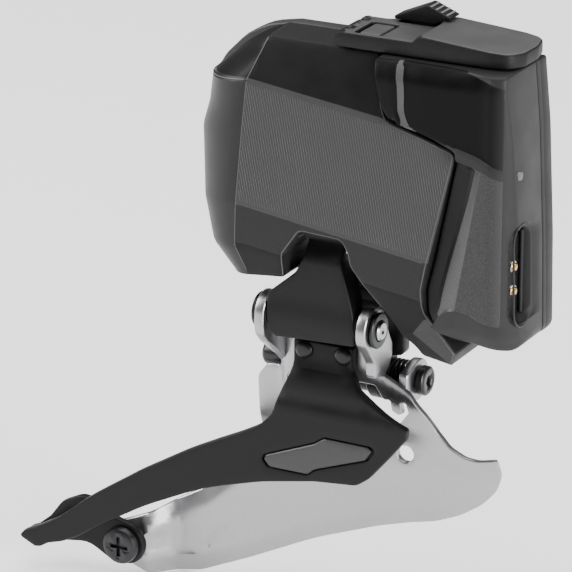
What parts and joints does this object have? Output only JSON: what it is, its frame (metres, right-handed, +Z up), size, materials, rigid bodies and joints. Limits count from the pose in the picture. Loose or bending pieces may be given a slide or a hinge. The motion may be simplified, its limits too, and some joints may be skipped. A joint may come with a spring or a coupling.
{
  "type": "front derailleur",
  "caption": "Wireless front derailleur: motor housing, swinging parallelogram links, chain cage, clip-on battery with latch, braze-on clamp bolt.",
  "frame": {"origin": "on the clamp bolt's axis, at the saddle face that meets the bicycle's braze-on tab", "axes": "+X forward on the bicycle, +Y inboard towards the frame's middle plane, +Z up the seat tube"},
  "size_m": [0.1153, 0.033, 0.132],
  "materials": {
    "moulded_black": "satin",
    "battery_graphite": "satin",
    "forged_black": "satin",
    "silver_alloy": "satin",
    "steel": "satin",
    "gold_contact": "polished",
    "brass_gear": "satin",
    "circuit_board": "matte",
    "rubber": "matte",
    "cell_wrap": "gloss"
  },
  "bodies": {
    "housing": {"outer_cover": "moulded_black", "inner_housing": "moulded_black", "cover_seal": "rubber", "cover_screw_1": "steel", "cover_screw_2": "steel", "cover_screw_3": "steel", "cover_screw_4": "steel", "motor_can": "steel", "gear_axle": "steel", "gear_carrier": "steel", "shaft_bush_front": "brass_gear", "shaft_bush_rear": "brass_gear", "control_board": "circuit_board", "contact_block": "moulded_black", "contact_pin_1": "gold_contact", "contact_pin_2": "gold_contact", "inner_upper_pin": "steel", "clamp_bolt": "steel", "clamp_washer": "forged_black"},
    "outer_arm": {"outer_link": "forged_black", "output_shaft": "steel", "drive_sector": "brass_gear"},
    "inner_arm": {"inner_link": "forged_black", "return_spring": "steel"},
    "cage": {"inner_cage_plate": "silver_alloy", "outer_cage_plate": "forged_black", "plate_insert": "forged_black", "cage_rivet_1": "steel", "cage_rivet_2": "steel", "outer_lower_pin": "steel", "outer_bush_front": "forged_black", "outer_bush_rear": "forged_black", "inner_lower_screw": "forged_black", "inner_pin_nut": "forged_black", "tail_screw": "forged_black", "tail_nut": "steel"},
    "reduction": {"reduction_gear": "brass_gear"},
    "rotor": {"motor_rotor": "steel"},
    "latch": {"latch_lever": "forged_black", "latch_pin": "steel"},
    "catch": {"thumb_catch": "forged_black"},
    "button": {"setup_button": "forged_black"},
    "battery": {"battery_case": "battery_graphite", "battery_back": "battery_graphite", "battery_cell_lower": "cell_wrap", "battery_cell_upper": "cell_wrap", "battery_board": "circuit_board", "battery_pad_1": "gold_contact", "battery_pad_2": "gold_contact", "charge_port": "battery_graphite", "charge_pin_1": "gold_contact", "charge_pin_2": "gold_contact"}
  },
  "joints": [
    {"name": "outer_link_swing", "type": "hinge", "parent": "housing", "child": "outer_arm", "pos_m": [-0.0236, -0.0205, 0.016], "axis": [1, 0, 0], "range_deg": [-12, 12]},
    {"name": "inner_link_swing", "type": "hinge", "parent": "housing", "child": "inner_arm", "pos_m": [-0.0194, -0.0085, 0.002], "axis": [1, 0, 0], "range_deg": [-12, 12]},
    {"name": "cage_level", "type": "hinge", "parent": "outer_arm", "child": "cage", "pos_m": [-0.0236, -0.0205, -0.005], "axis": [1, 0, 0], "range_deg": [-12, 12]},
    {"name": "reduction_turn", "type": "hinge", "parent": "housing", "child": "reduction", "pos_m": [-0.029, -0.0162, 0.03057], "axis": [1, 0, 0], "range_deg": [-46, 46]},
    {"name": "rotor_turn", "type": "hinge", "parent": "housing", "child": "rotor", "pos_m": [-0.034, -0.0162, 0.03927], "axis": [1, 0, 0], "range_deg": [-101, 101]},
    {"name": "latch_swing", "type": "hinge", "parent": "housing", "child": "latch", "pos_m": [-0.0186, -0.0148, 0.0549], "axis": [0, -1, 0], "range_deg": [0, 70]},
    {"name": "catch_slide", "type": "slide", "parent": "latch", "child": "catch", "axis": [-1, 0, 0], "range_m": [0, 0.0018]},
    {"name": "button_press", "type": "slide", "parent": "housing", "child": "button", "axis": [0, 0, -1], "range_m": [0, 0.00035], "stiffness_N_per_m": 300},
    {"name": "battery_slide", "type": "slide", "parent": "housing", "child": "battery", "axis": [1, 0, 0], "range_m": [0, 0.03]}
  ],
  "couplings": [
    {"joint": "inner_link_swing", "follows": "outer_link_swing", "ratio": 1},
    {"joint": "cage_level", "follows": "outer_link_swing", "ratio": -1},
    {"joint": "reduction_turn", "follows": "outer_link_swing", "ratio": -3.75},
    {"joint": "rotor_turn", "follows": "outer_link_swing", "ratio": 8.3333}
  ]
}
